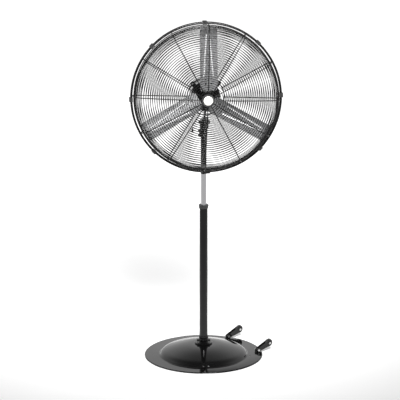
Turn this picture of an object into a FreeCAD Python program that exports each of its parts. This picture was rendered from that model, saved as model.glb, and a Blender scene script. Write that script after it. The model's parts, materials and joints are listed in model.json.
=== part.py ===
"""Pedestal fan with a wire drum guard, telescopic pole and round pressed base.

Units are millimetres. The origin is on the floor, on the pole's axis. +Z is up and
the fan blows towards -Y. Each sub-part is written to parts/NODE.step.

Two more frames are used. The "fan" frame has its origin on the motor shaft in the
guard's rim plane, with X to the right as seen from the front, Y up and Z forward
along the shaft. The "pivot" frame has its origin at the tilt bolt, parallel to the
object's axes when the head is level and faces straight ahead.
"""
import FreeCAD, Part
import os
from math import acos, asin, atan2, cos, degrees, pi, radians, sin, sqrt

V = FreeCAD.Vector
X_AXIS = V(1, 0, 0)
Y_AXIS = V(0, 1, 0)
Z_AXIS = V(0, 0, 1)
CENTRE = V(0, 0, 0)

# ---- driving dimensions: base -------------------------------------------------
BASE_R = 324.0            # outer radius of the pressed dish
SHEET = 2.0               # thickness of its sheet
RIM_Z = 6.0               # top of the flat rim
RIM_EDGE_R = 6.0          # radius of the turned-down edge
DOME_R = 248.0            # where the dome starts to rise
DOME_TOP_Z = 67.0         # top of the dome
DOME_TOP_R = 50.0         # flat seat for the pole flange
FOOT_COUNT = 6
FOOT_R = 13.0
FOOT_RING_R = 286.0
BALLAST_R = 150.0
BALLAST_Z = (18.0, 34.0)
DRAIN_HOLE_R = 4.0        # plain hole in the rim
DRAIN_HOLE_POLAR = (259.0, -9.0)

# ---- driving dimensions: pole --------------------------------------------------
FLANGE_R = 48.0
FLANGE_H = 8.0
FLANGE_SOCKET_R = 25.5
FLANGE_SOCKET_TOP = 113.0
FLANGE_BOLT_R = 39.0
OUTER_R = 22.25
OUTER_WALL = 2.25
OUTER_TOP = 856.0
COLLAR_R = 27.0
COLLAR_Z = (843.0, 863.0)
INNER_R = 15.9
INNER_WALL = 1.6
INNER_Z = (510.0, 1040.0)
STEM_TOP = 1293.0
STEM_SPIGOT_Z = 985.0
RUN_GAP = 0.05            # radial clearance of a running fit
NEST_GAP = 0.05           # gap between nested pieces that don't move
SAFE_GAP = 0.4            # gap between pieces that move past each other

# ---- driving dimensions: head joints -------------------------------------------
PIVOT_Z = 1329.0
TILT_REST = 7.0           # nose-up angle as stored, degrees
SWIVEL_REST = 5.0         # swivel angle as stored, degrees
SHAFT_ABOVE_PIVOT = 163.0
RIM_AHEAD_OF_POLE = 175.0
SOCKET_R = 20.0
SOCKET_Z = (1247.0, 1298.0)
SOCKET_BOLT_Z = (1256.0, 1282.0)
KNUCKLE_X = (-21.0, 25.0)
KNUCKLE_HALF_Y = 21.0
KNUCKLE_TOP = 1353.0
TONGUE_HALF = 5.7
TONGUE_R = 19.0

# ---- driving dimensions: guard --------------------------------------------------
SPOKE_COUNT = 12
SPOKE_FIRST = -2.5        # angle of the first spoke from the fan frame's X axis
SPOKE_R = 2.6             # wire radius
RING_R = 1.75             # wire radius
ROD_R = 6.0               # rim rod radius
ROD_Z = 7.0               # rim rods sit this far each side of the rim plane
RING_SIDES = 8            # sides of a ring wire's section
ROD_SIDES = 12            # sides of a rim rod's section
SKIRT_R = 394.5           # spoke radius where the shoulder ends in the skirt
RING_PITCH = 11.5
FRONT_DEPTH = 125.0       # rim plane to the front wires, on the shaft axis
FRONT_DOME_R = 1500.0     # sphere radius of the shallow front face
FRONT_SHOULDER_R = 52.0
FRONT_SHOULDER_RINGS = 9
REAR_DEPTH = 21.6
REAR_DOME_R = 20000.0
REAR_SHOULDER_R = 12.0
REAR_SHOULDER_RINGS = 2
REAR_HUB_R = (97.0, 103.0)
REAR_HUB_SHEET = 2.0
CLIP_COUNT = 8
CLIP_WALL = 1.5
CLIP_SCREW_R = 1.25
CLIP_SCREW_OUT = 2.3      # from the rods' outer side to the screw's axis
CLIP_EDGE_OUT = 4.8       # from the rods' outer side to the strap's edge
CLIP_FIRST = 0.5          # angle of the first clip, clear of the spokes
CLIP_ANGLE = 3.4          # degrees of rim that one clip covers
CENTRE_PLATE_R = 35.0
BADGE_R = 25.0

# ---- driving dimensions: propeller and motor --------------------------------------
BLADE_COUNT = 3
BLADE_PITCH = 23.0
BLADE_CHORD = 107.0
BLADE_SHEET = 1.6
BLADE_CAMBER_R = 150.0
BLADE_ROOT_R = 38.0
BLADE_TIP_R = 376.0
BLADE_CORNER_R = (18.0, 10.0)   # at the root and at the tip
BLADE_OFFSET = 9.0        # the blade's centreline passes this far from the shaft
BLADE_Z = 34.0            # rim plane to the propeller's plane, forwards
HUB_SHEET = 3.0
HUB_ARM_TIP_R = 118.0
HUB_ARM_WIDTH = 58.0
HUB_BOSS_R = 20.0
SHAFT_R = 6.0
MOTOR_R = 80.0
MOTOR_Z = (-160.0, -30.0)
MOTOR_SPLIT_Z = -95.0
BELL_WALL = 4.0
BEARING_R = 16.0
BEARING_W = 10.0
BRACKET_H = 4.0
BRACKET_ARM_R = 100.0
STATOR_Z = (-126.0, -64.0)
STATOR_BORE_R = 45.5
TIE_BOLT_R = 68.0

# ---- driving dimensions: wheels ---------------------------------------------------
WHEEL_R = 22.0
WHEEL_W = 15.0
WHEEL_HUB_R = 15.0
WHEEL_AXLE_R = 4.0
WHEEL_Z = 45.0
ARM_PIVOT_R = 298.0
ARM_PIVOT_Z = 17.0
ARM_RUN = 75.0
ARM_PLATE = 3.0
ARM_SMALL_R = 9.0
ARM_BIG_R = 17.0
ROLL_AZIMUTH = 34.5       # direction in which the base is wheeled away
ARM_AZIMUTHS = {"left": 63.0, "right": 6.0}

# ---- driving dimensions: pull chain ------------------------------------------------
CHAIN_R = 1.2
CHAIN_LENGTH = 102.0
SWITCH_BOX = ((-82.0, -46.0), (-88.0, -32.0), (84.0, 138.0))   # spans in the pivot frame
CHAIN_EXIT = V(-65.0, -60.0, 81.0)   # foot of the switch box's bush, in the pivot frame
KNOB_R = 4.8
KNOB_H = 26.0


# ---- building blocks ---------------------------------------------------------------
def cylinder(radius, low, high, x=0.0, y=0.0):
    """Upright cylinder between two heights."""
    return Part.makeCylinder(radius, high - low, V(x, y, low))


def tube(outer, inner, low, high):
    """Upright tube on the Z axis."""
    return cylinder(outer, low, high).cut(cylinder(inner, low - 1, high + 1))


def block(x_span, y_span, z_span):
    """Box given by its spans along the three axes."""
    size = [span[1] - span[0] for span in (x_span, y_span, z_span)]
    return Part.makeBox(*size, V(x_span[0], y_span[0], z_span[0]))


def turned(points):
    """Solid of revolution about Z from (radius, height) points."""
    outline = [V(radius, 0, height) for radius, height in points]
    face = Part.Face(Part.makePolygon(outline + outline[:1]))
    return face.revolve(CENTRE, Z_AXIS, 360)


def hexagon(across_flats, low, high, x=0.0, y=0.0):
    """Upright hexagonal prism."""
    corner_r = across_flats / sqrt(3)
    corners = [V(x + corner_r * cos(radians(60 * k)), y + corner_r * sin(radians(60 * k)), low)
               for k in range(7)]
    return Part.Face(Part.makePolygon(corners)).extrude(V(0, 0, high - low))


def bolt(radius, head_flats, head_h, low, high, x=0.0, y=0.0):
    """Hexagon bolt with its shank from low to high and its head above."""
    return cylinder(radius, low, high, x, y).fuse(hexagon(head_flats, high, high + head_h, x, y))


def rotated(shape, axis, angle, centre=CENTRE):
    """Copy of a shape turned about an axis through a point."""
    copy = shape.copy()
    copy.rotate(centre, axis, angle)
    return copy


def moved(shape, offset):
    """Copy of a shape moved by a vector."""
    copy = shape.copy()
    copy.translate(offset)
    return copy


def around(shape, angles, axis=Z_AXIS):
    """Copies of a shape at several angles about an axis through the origin."""
    return [rotated(shape, axis, angle) for angle in angles]


def even_angles(count, first=0.0):
    """Equally spaced angles round a full turn."""
    return [first + 360.0 * k / count for k in range(count)]


def wire_ring(ring_radius, wire_radius, z, sides):
    """Wire ring round the Z axis, with a many-sided section."""
    corners = [2 * pi * (k + 0.5) / sides for k in range(sides)]
    return turned([(ring_radius + wire_radius * cos(a), z + wire_radius * sin(a)) for a in corners])


def wire_along(path, radius):
    """Round wire swept along a planar path of lines and arcs."""
    start = path.Edges[0]
    tangent = start.tangentAt(start.FirstParameter)
    section = Part.Wire(Part.makeCircle(radius, start.valueAt(start.FirstParameter), tangent))
    return path.makePipeShell([section], True, False)


def in_swivel(shape):
    """Turn a piece of the swivelling neck from straight ahead to its stored angle."""
    return rotated(shape, Z_AXIS, SWIVEL_REST)


def in_head(shape):
    """Place a piece given in the pivot frame."""
    tilted = rotated(shape, X_AXIS, -TILT_REST)
    return in_swivel(moved(tilted, V(0, 0, PIVOT_Z)))


def in_fan(shape):
    """Place a piece given in the fan frame."""
    level = moved(rotated(shape, X_AXIS, 90), V(0, -RIM_AHEAD_OF_POLE, SHAFT_ABOVE_PIVOT))
    return in_head(level)


# ---- base ---------------------------------------------------------------------------
def dome_curve(offset):
    """Upper line of the dome, from its flat top down to the rim, lowered by an offset."""
    rise = DOME_TOP_Z - RIM_Z
    knots = [(DOME_TOP_R, 1.0), (0.5 * DOME_R, 0.85), (0.8 * DOME_R, 0.5), (0.95 * DOME_R, 0.15), (DOME_R, 0.0)]
    points = [V(radius, 0, RIM_Z - offset + rise * share) for radius, share in knots]
    curve = Part.BSplineCurve()
    curve.interpolate(Points=points, InitialTangent=V(1, 0, 0), FinalTangent=V(1, 0, 0))
    return curve


def base_dish():
    """Pressed sheet: flat seat, dome, flat rim and turned-down edge."""
    top = dome_curve(0).toShape()
    under = dome_curve(SHEET).toShape()
    edge_centre = V(BASE_R - RIM_EDGE_R, 0, RIM_Z - RIM_EDGE_R)
    half_turn = radians(45)
    outer_mid = edge_centre + V(RIM_EDGE_R * sin(half_turn), 0, RIM_EDGE_R * cos(half_turn))
    inner_r = RIM_EDGE_R - SHEET
    inner_mid = edge_centre + V(inner_r * sin(half_turn), 0, inner_r * cos(half_turn))
    edge_low = 1.0
    outer_top = edge_centre + V(0, 0, RIM_EDGE_R)
    inner_top = edge_centre + V(0, 0, inner_r)
    outer_end = V(edge_centre.x + sqrt(RIM_EDGE_R ** 2 - edge_low ** 2), 0, edge_low)
    inner_end = V(edge_centre.x + sqrt(inner_r ** 2 - edge_low ** 2), 0, edge_low)
    cable_r = 9.0
    edges = [
        Part.makeLine(V(cable_r, 0, DOME_TOP_Z), V(DOME_TOP_R, 0, DOME_TOP_Z)),
        top,
        Part.makeLine(V(DOME_R, 0, RIM_Z), outer_top),
        Part.Arc(outer_top, outer_mid, outer_end).toShape(),
        Part.makeLine(outer_end, inner_end),
        Part.Arc(inner_end, inner_mid, inner_top).toShape(),
        Part.makeLine(inner_top, V(DOME_R, 0, RIM_Z - SHEET)),
        under,
        Part.makeLine(V(DOME_TOP_R, 0, DOME_TOP_Z - SHEET), V(cable_r, 0, DOME_TOP_Z - SHEET)),
        Part.makeLine(V(cable_r, 0, DOME_TOP_Z - SHEET), V(cable_r, 0, DOME_TOP_Z)),
    ]
    profile = Part.Face(Part.Wire(Part.__sortEdges__(edges)))
    dish = profile.revolve(CENTRE, Z_AXIS, 360)
    for hole in flange_bolt_holes(DOME_TOP_Z - SHEET - 1, DOME_TOP_Z + 1):
        dish = dish.cut(hole)
    hole_r, hole_azimuth = DRAIN_HOLE_POLAR
    drain = cylinder(DRAIN_HOLE_R, 0, RIM_Z + 1, hole_r, 0)
    return dish.cut(rotated(drain, Z_AXIS, hole_azimuth))


def flange_bolt_holes(low, high):
    """Clearance holes for the four flange bolts."""
    hole = cylinder(5.2, low, high, FLANGE_BOLT_R, 0)
    return around(hole, even_angles(4, 45))


def ballast_plate():
    """Cast disc under the dome, hung from the flange bolts on four bosses."""
    plate = tube(BALLAST_R, 30.0, *BALLAST_Z)
    boss = cylinder(9.5, BALLAST_Z[1] - 1, DOME_TOP_Z - SHEET, FLANGE_BOLT_R, 0)
    for piece in around(boss, even_angles(4, 45)):
        plate = plate.fuse(piece)
    for hole in flange_bolt_holes(BALLAST_Z[0] - 1, DOME_TOP_Z):
        plate = plate.cut(hole)
    return plate.removeSplitter()


def rubber_feet():
    """Round pads under the flat rim."""
    pad = cylinder(FOOT_R, 0, RIM_Z - SHEET, FOOT_RING_R, 0)
    return around(pad, even_angles(FOOT_COUNT, 15))


# ---- pole ---------------------------------------------------------------------------
def pole_flange():
    """Round foot of the pole with its socket."""
    low = DOME_TOP_Z
    fillet = 3.5
    flange = turned([
        (OUTER_R + NEST_GAP, low),
        (FLANGE_R, low),
        (FLANGE_R, low + FLANGE_H - 2),
        (FLANGE_R - 2, low + FLANGE_H),
        (FLANGE_SOCKET_R + fillet, low + FLANGE_H),
        (FLANGE_SOCKET_R, low + FLANGE_H + fillet),
        (FLANGE_SOCKET_R, FLANGE_SOCKET_TOP - 2),
        (FLANGE_SOCKET_R - 1.5, FLANGE_SOCKET_TOP),
        (OUTER_R + NEST_GAP, FLANGE_SOCKET_TOP),
    ])
    for hole in flange_bolt_holes(low - 1, low + FLANGE_H + 1):
        flange = flange.cut(hole)
    return flange


def flange_bolts():
    """Four bolts through flange, dish and ballast, each with its nut."""
    top = DOME_TOP_Z + FLANGE_H
    nut_h = 8.0
    screw = bolt(5.0, 16.0, 6.5, BALLAST_Z[0] - nut_h - 1, top, FLANGE_BOLT_R, 0)
    nut = hexagon(16.0, BALLAST_Z[0] - nut_h, BALLAST_Z[0], FLANGE_BOLT_R, 0)
    nut = nut.cut(cylinder(5.0 + NEST_GAP, 0, BALLAST_Z[0] + 1, FLANGE_BOLT_R, 0))
    return around(screw, even_angles(4, 45)) + around(nut, even_angles(4, 45))


def outer_tube():
    """Lower pole tube."""
    return tube(OUTER_R, OUTER_R - OUTER_WALL, DOME_TOP_Z, OUTER_TOP)


def grip_bush():
    """Plastic bush that the collar squeezes on to the inner tube."""
    bore = INNER_R + RUN_GAP
    outside = OUTER_R - OUTER_WALL - NEST_GAP
    lip_top = OUTER_TOP + 2
    return turned([
        (bore, OUTER_TOP - 45),
        (outside, OUTER_TOP - 45),
        (outside, OUTER_TOP),
        (OUTER_R, OUTER_TOP),
        (OUTER_R, lip_top),
        (bore, lip_top),
    ])


def lock_collar():
    """Twist collar on the outer tube's top, with finger flutes."""
    low, high = COLLAR_Z
    collar = turned([
        (OUTER_R + SAFE_GAP, low),
        (COLLAR_R - 2, low),
        (COLLAR_R - 1, low + 2),
        (COLLAR_R - 1, high - 9),
        (COLLAR_R, high - 7),
        (COLLAR_R, high - 1.5),
        (COLLAR_R - 1.5, high),
        (INNER_R + SAFE_GAP, high),
        (INNER_R + SAFE_GAP, high - 4),
        (OUTER_R + SAFE_GAP, high - 4),
    ])
    flute = cylinder(2.0, low - 1, high - 8, COLLAR_R + 0.4, 0)
    for piece in around(flute, even_angles(20)):
        collar = collar.cut(piece)
    return collar


def inner_tube():
    """Chromed sliding tube."""
    return tube(INNER_R, INNER_R - INNER_WALL, *INNER_Z)


def guide_bush():
    """Bush on the inner tube's foot that slides in the outer tube."""
    low = INNER_Z[0]
    slide_r = OUTER_R - OUTER_WALL - RUN_GAP
    return turned([
        (INNER_R - INNER_WALL - 3, low - 4),
        (slide_r, low - 4),
        (slide_r, low + 36),
        (INNER_R + NEST_GAP, low + 36),
        (INNER_R + NEST_GAP, low),
        (INNER_R - INNER_WALL - 3, low),
    ])


def head_stem():
    """Black stem that plugs into the inner tube and carries the head."""
    spigot_r = INNER_R - INNER_WALL - NEST_GAP
    bore = spigot_r - 2.0
    return turned([
        (bore, STEM_SPIGOT_Z),
        (spigot_r, STEM_SPIGOT_Z),
        (spigot_r, INNER_Z[1]),
        (INNER_R, INNER_Z[1]),
        (INNER_R, STEM_TOP),
        (bore, STEM_TOP),
    ])


# ---- swivelling neck ------------------------------------------------------------------
def swivel_socket():
    """Cap and socket that turn on the stem, with a lug for the two clamp bolts."""
    low, high = SOCKET_Z
    lug_x = 25.0
    body = cylinder(SOCKET_R, low, high)
    lug = block((-lug_x, 0), (-9, 9), (low + 1, SOCKET_BOLT_Z[1] + 8))
    bore = cylinder(INNER_R + RUN_GAP, low - 1, STEM_TOP + SAFE_GAP)
    socket = body.fuse(lug).cut(bore)
    for height in SOCKET_BOLT_Z:
        hole = Part.makeCylinder(4.0 + NEST_GAP, lug_x, V(-lug_x - 1, 0, height), X_AXIS)
        socket = socket.cut(hole)
    return in_swivel(socket.removeSplitter())


def socket_bolts():
    """Two bolts that clamp the socket on the stem."""
    tip_x = INNER_R + SAFE_GAP + 1.0
    screws = []
    for height in SOCKET_BOLT_Z:
        screw = rotated(bolt(4.0, 13.0, 5.5, tip_x, 25.0), Y_AXIS, -90)
        screws.append(in_swivel(moved(screw, V(0, 0, height))))
    return screws


def knuckle_block():
    """Forged block with a slot for the tongue of the motor saddle."""
    knuckle = block(KNUCKLE_X, (-KNUCKLE_HALF_Y, KNUCKLE_HALF_Y), (SOCKET_Z[1], KNUCKLE_TOP))
    upright = [edge for edge in knuckle.Edges
               if abs(edge.BoundBox.ZLength - (KNUCKLE_TOP - SOCKET_Z[1])) < 0.01]
    knuckle = knuckle.makeFillet(5.0, upright)
    slot_half = TONGUE_HALF + 0.3
    slot = block((-slot_half, slot_half), (-30, 30), (PIVOT_Z - TONGUE_R - 2, KNUCKLE_TOP + 1))
    drop = 20.0
    shoulder = Part.Face(Part.makePolygon([
        V(KNUCKLE_X[0] - 1, -30, KNUCKLE_TOP - drop),
        V(-slot_half, -30, KNUCKLE_TOP - 2),
        V(-slot_half, -30, KNUCKLE_TOP + 1),
        V(KNUCKLE_X[0] - 1, -30, KNUCKLE_TOP + 1),
        V(KNUCKLE_X[0] - 1, -30, KNUCKLE_TOP - drop),
    ])).extrude(V(0, 60, 0))
    hole = Part.makeCylinder(5.0 + NEST_GAP, 80, V(-40, 0, PIVOT_Z), X_AXIS)
    return in_swivel(knuckle.cut(slot).cut(shoulder).cut(hole))


def tilt_bolt():
    """Pivot bolt of the tilt joint, head on the left, and its locking nut."""
    screw = rotated(bolt(5.0, 16.0, 6.5, -36.0, -KNUCKLE_X[0]), Y_AXIS, -90)
    nut = hexagon(16.0, KNUCKLE_X[1], KNUCKLE_X[1] + 8)
    nut = rotated(nut.cut(cylinder(5.0 + NEST_GAP, 0, 60)), Y_AXIS, 90)
    return [in_swivel(moved(piece, V(0, 0, PIVOT_Z))) for piece in (screw, nut)]


# ---- head: saddle, motor and bracket ------------------------------------------------------
def motor_saddle():
    """Tongue on the tilt bolt, rising to a cradle under the motor (pivot frame)."""
    cradle_low = SHAFT_ABOVE_PIVOT - MOTOR_R - 4.0
    front_y, back_y = -118.0, -24.0
    outline = [
        V(-TONGUE_HALF, -TONGUE_R, 0),
        V(-TONGUE_HALF, -TONGUE_R, 12),
        V(-TONGUE_HALF, front_y + 12, cradle_low - 12),
        V(-TONGUE_HALF, front_y + 12, cradle_low + 2),
        V(-TONGUE_HALF, back_y - 2, cradle_low + 2),
        V(-TONGUE_HALF, TONGUE_R, 24),
        V(-TONGUE_HALF, TONGUE_R, 0),
    ]
    web = Part.Face(Part.makePolygon(outline + outline[:1])).extrude(V(2 * TONGUE_HALF, 0, 0))
    eye = Part.makeCylinder(TONGUE_R, 2 * TONGUE_HALF, V(-TONGUE_HALF, 0, 0), X_AXIS)
    length = back_y - front_y
    shell = Part.makeCylinder(MOTOR_R + 4, length, V(0, front_y, SHAFT_ABOVE_PIVOT), Y_AXIS)
    motor = Part.makeCylinder(MOTOR_R, 400, V(0, -300, SHAFT_ABOVE_PIVOT), Y_AXIS)
    strip = block((-19, 19), (front_y, back_y), (0, SHAFT_ABOVE_PIVOT))
    cradle = shell.common(strip)
    saddle = web.fuse(eye).fuse(cradle).cut(motor)
    saddle = saddle.cut(Part.makeCylinder(5.0 + RUN_GAP, 40, V(-20, 0, 0), X_AXIS))
    for hole in saddle_bolt_shapes(3.0 + NEST_GAP, 0.0):
        saddle = saddle.cut(hole)
    return in_head(saddle.removeSplitter())


def saddle_bolt_shapes(radius, head_h):
    """Upward bolts at the cradle's four corners; with no head they are the hole cutters."""
    low = SHAFT_ABOVE_PIVOT - MOTOR_R - 3.8
    shapes = []
    for x in (-12.5, 12.5):
        for y in (-105.0, -38.0):
            shank = cylinder(radius, low - 4, low + 10, x, y)
            if head_h:
                shank = cylinder(radius, low, low + 7, x, y).fuse(hexagon(10.0, low - head_h, low, x, y))
            shapes.append(shank)
    return shapes


def saddle_bolts():
    """Bolts that hold the motor on the cradle."""
    return [in_head(shape) for shape in saddle_bolt_shapes(3.0, 4.0)]


def bell(end_z, split_z):
    """One half of the motor housing, closed at end_z (fan frame, on the Z axis)."""
    out = 1.0 if end_z > split_z else -1.0
    edge = 10.0
    boss_depth = BEARING_W + 5
    inner_r = MOTOR_R - BELL_WALL
    return turned([
        (SHAFT_R + 1.5, end_z),
        (MOTOR_R - edge, end_z),
        (MOTOR_R - 3, end_z - out * 4),
        (MOTOR_R, end_z - out * edge),
        (MOTOR_R, split_z),
        (inner_r, split_z),
        (inner_r, end_z - out * (edge + 3)),
        (MOTOR_R - edge - 2, end_z - out * BELL_WALL),
        (BEARING_R + 5, end_z - out * BELL_WALL),
        (BEARING_R + 5, end_z - out * boss_depth),
        (BEARING_R + NEST_GAP, end_z - out * boss_depth),
        (BEARING_R + NEST_GAP, end_z - out * BELL_WALL),
        (SHAFT_R + 1.5, end_z - out * BELL_WALL),
    ])


def motor_cutters(include_slots):
    """Tie bolt holes, saddle bolt holes and, at the back, cooling slots (fan frame)."""
    cutters = [cylinder(3.0 + NEST_GAP, MOTOR_Z[0] - 1, MOTOR_Z[1] + 1, TIE_BOLT_R * cos(radians(a)),
                        TIE_BOLT_R * sin(radians(a))) for a in even_angles(4, 0)]
    if include_slots:
        slot = block((30, 56), (-2, 2), (MOTOR_Z[0] - 1, MOTOR_Z[0] + BELL_WALL + 1))
        cutters += around(slot, even_angles(12, 15))
    return cutters


def saddle_holes_in_fan_frame():
    """The saddle bolts' holes, moved from the pivot frame to the fan frame."""
    holes = []
    for hole in saddle_bolt_shapes(3.0 + NEST_GAP, 0.0):
        level = moved(hole, V(0, RIM_AHEAD_OF_POLE, -SHAFT_ABOVE_PIVOT))
        holes.append(rotated(level, X_AXIS, -90))
    return holes


def finish_bell(shape, cutters):
    """Cut the holes of one housing half and place it."""
    for cutter in cutters + saddle_holes_in_fan_frame():
        shape = shape.cut(cutter)
    return in_fan(shape)


def front_bell():
    """Front half of the motor housing."""
    return finish_bell(bell(MOTOR_Z[1], MOTOR_SPLIT_Z), motor_cutters(False))


def rear_bell():
    """Rear half of the motor housing, with cooling slots."""
    return finish_bell(bell(MOTOR_Z[0], MOTOR_SPLIT_Z), motor_cutters(True))


def stator_core():
    """Laminated stator ring with notches for the tie bolts and saddle bolts."""
    core = tube(MOTOR_R - BELL_WALL - NEST_GAP, STATOR_BORE_R, *STATOR_Z)
    for angle in even_angles(4, 0):
        core = core.cut(rotated(cylinder(4.0, STATOR_Z[0] - 1, STATOR_Z[1] + 1, TIE_BOLT_R, 0), Z_AXIS, angle))
    return in_fan(core)


def stator_windings():
    """End turns of the winding at both faces of the stator."""
    coils = []
    for low, high in ((STATOR_Z[0] - 12, STATOR_Z[0]), (STATOR_Z[1], STATOR_Z[1] + 12)):
        coil = tube(62.0, 49.0, low, high)
        coils.append(in_fan(coil))
    return coils


def motor_bearings():
    """Two ball bearings, each seated in a housing boss."""
    seats = [MOTOR_Z[1] - BELL_WALL - BEARING_W, MOTOR_Z[0] + BELL_WALL]
    return [in_fan(tube(BEARING_R, SHAFT_R, low, low + BEARING_W)) for low in seats]


def motor_tie_bolts():
    """Four long screws that hold the two housing halves together."""
    screws = []
    for angle in even_angles(4, 0):
        x, y = TIE_BOLT_R * cos(radians(angle)), TIE_BOLT_R * sin(radians(angle))
        shank = cylinder(3.0, MOTOR_Z[0], MOTOR_Z[1] - 1, x, y)
        head = cylinder(5.0, MOTOR_Z[0] - 4, MOTOR_Z[0], x, y)
        screws.append(in_fan(shank.fuse(head)))
    return screws


def guard_bracket():
    """Four-armed plate on the motor's front that carries the rear guard."""
    low, high = MOTOR_Z[1], MOTOR_Z[1] + BRACKET_H
    plate = cylinder(58.0, low, high)
    arm = block((0, BRACKET_ARM_R), (-12, 12), (low, high)).fuse(cylinder(12, low, high, BRACKET_ARM_R, 0))
    for piece in around(arm, even_angles(4, 45)):
        plate = plate.fuse(piece)
    plate = plate.removeSplitter().cut(cylinder(24.0, low - 1, high + 1))
    for hole in around(cylinder(2.5 + NEST_GAP, low - 1, high + 1, BRACKET_ARM_R, 0), even_angles(4, 45)):
        plate = plate.cut(hole)
    return in_fan(plate)


def bracket_bolts():
    """Screws and nuts that hold the rear guard's hub plate on the bracket arms."""
    low, high = MOTOR_Z[1], MOTOR_Z[1] + BRACKET_H + REAR_HUB_SHEET
    screw = cylinder(2.5, low - 6, high, BRACKET_ARM_R, 0).fuse(cylinder(4.5, high, high + 3, BRACKET_ARM_R, 0))
    nut = hexagon(8.0, low - 4, low, BRACKET_ARM_R, 0).cut(
        cylinder(2.5 + NEST_GAP, low - 5, low + 1, BRACKET_ARM_R, 0))
    pieces = around(screw, even_angles(4, 45)) + around(nut, even_angles(4, 45))
    return [in_fan(piece) for piece in pieces]


def motor_side_box(x_span, y_span, z_span, fillet):
    """Box against the motor's underside, hollowed by the motor (pivot frame)."""
    box = block(x_span, y_span, z_span)
    box = box.makeFillet(fillet, [edge for edge in box.Edges if edge.BoundBox.YLength > 10])
    room = Part.makeCylinder(MOTOR_R + NEST_GAP, 500, V(0, -400, SHAFT_ABOVE_PIVOT), Y_AXIS)
    return box.cut(room)


def switch_box():
    """Hollow housing of the pull switch, low on the motor's left, with the chain's exit bush."""
    wall = 2.5
    (x_low, x_high), (y_low, y_high), (z_low, z_high) = SWITCH_BOX
    box = motor_side_box(*SWITCH_BOX, 5.0)
    room = block((x_low + wall, x_high - wall), (y_low + wall, y_high - wall), (z_low + wall, z_high - wall))
    room = room.cut(Part.makeCylinder(MOTOR_R + wall, 500, V(0, -400, SHAFT_ABOVE_PIVOT), Y_AXIS))
    bush = cylinder(5.0, CHAIN_EXIT.z, z_low + 1, CHAIN_EXIT.x, CHAIN_EXIT.y)
    bore = cylinder(CHAIN_R + 0.6, CHAIN_EXIT.z - 1, z_low + wall + 1, CHAIN_EXIT.x, CHAIN_EXIT.y)
    return in_head(box.fuse(bush).removeSplitter().cut(room).cut(bore))


def pull_switch():
    """Speed switch in the box, worked by the chain."""
    low = SWITCH_BOX[2][0] + 3.0
    return in_head(block((-78, -61), (-80, -40), (low, low + 19)))


def run_capacitor():
    """Canister of the run capacitor, low on the motor's right."""
    canister = Part.makeCylinder(16.0, 72, V(40, -122, SHAFT_ABOVE_PIVOT - 88), Y_AXIS)
    edges = [edge for edge in canister.Edges if isinstance(edge.Curve, Part.Circle)]
    return in_head(canister.makeFillet(3.0, edges))


def cable_gland():
    """Gland for the supply lead, on the back of the switch box."""
    start = V(-73, -32, 104)
    body = Part.makeCylinder(7.0, 8, start, Y_AXIS)
    neck = Part.makeCone(6.0, 4.0, 14, start + V(0, 8, 0), Y_AXIS)
    bore = Part.makeCylinder(2.8, 18, start + V(0, 5, 0), Y_AXIS)
    return in_head(body.fuse(neck).cut(bore))


# ---- guard -------------------------------------------------------------------------------
class GuardLine:
    """Half profile of a guard: shallow domed face, round shoulder, straight skirt.

    Points are (radius, height) with height measured from the rim plane, outwards.
    The spokes follow it, and the rings lie just inside it.
    """

    def __init__(self, depth, face_r, shoulder_r):
        inset = face_r - shoulder_r
        self.face_r = face_r
        self.face_centre = depth - face_r
        self.slope = asin((SKIRT_R - shoulder_r) / inset)
        self.face_edge_r = face_r * sin(self.slope)
        self.shoulder_r = shoulder_r
        self.shoulder_centre = (inset * sin(self.slope), self.face_centre + inset * cos(self.slope))

    def face_point(self, radius, inward=0.0):
        """Point of the face at a radius, moved inward along the normal."""
        angle = asin(radius / self.face_r)
        reach = self.face_r - inward
        return reach * sin(angle), self.face_centre + reach * cos(angle)

    def shoulder_point(self, angle, inward=0.0):
        """Point of the shoulder at an angle from the shaft direction."""
        reach = self.shoulder_r - inward
        return (self.shoulder_centre[0] + reach * sin(angle),
                self.shoulder_centre[1] + reach * cos(angle))

    def spoke_path(self, inner_r, skirt_end):
        """Wire of one spoke from the hub to the rim, in the XZ plane."""
        def point(pair):
            return V(pair[0], 0, pair[1])
        face_mid = (inner_r + self.face_edge_r) / 2
        half_angle = (self.slope + pi / 2) / 2
        face = Part.Arc(point(self.face_point(inner_r)), point(self.face_point(face_mid)),
                        point(self.shoulder_point(self.slope)))
        shoulder = Part.Arc(point(self.shoulder_point(self.slope)), point(self.shoulder_point(half_angle)),
                            point(self.shoulder_point(pi / 2)))
        skirt = Part.LineSegment(point(self.shoulder_point(pi / 2)), V(SKIRT_R, 0, skirt_end))
        return Part.Wire([face.toShape(), shoulder.toShape(), skirt.toShape()])


FRONT_LINE = GuardLine(FRONT_DEPTH, FRONT_DOME_R, FRONT_SHOULDER_R)
REAR_LINE = GuardLine(REAR_DEPTH, REAR_DOME_R, REAR_SHOULDER_R)
RING_INSET = SPOKE_R + RING_R + NEST_GAP
ROD_RING_R = SKIRT_R + SPOKE_R + ROD_R + NEST_GAP
CLIP_INNER_R = ROD_RING_R - ROD_R - 0.3 - CLIP_WALL
CLIP_OUTER_R = ROD_RING_R + ROD_R + CLIP_EDGE_OUT


def mirrored_if(shape, rear):
    """Turn a front-facing guard piece to the rear half."""
    return shape.mirror(CENTRE, Z_AXIS) if rear else shape


def guard_rim(rear):
    """Rim rod of one guard half."""
    return in_fan(mirrored_if(wire_ring(ROD_RING_R, ROD_R, ROD_Z, ROD_SIDES), rear))


def guard_spokes(line, inner_r, rear):
    """Radial wires of one guard half."""
    spoke = mirrored_if(wire_along(line.spoke_path(inner_r, ROD_Z - 3), SPOKE_R), rear)
    return [in_fan(piece) for piece in around(spoke, even_angles(SPOKE_COUNT, SPOKE_FIRST))]


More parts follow.
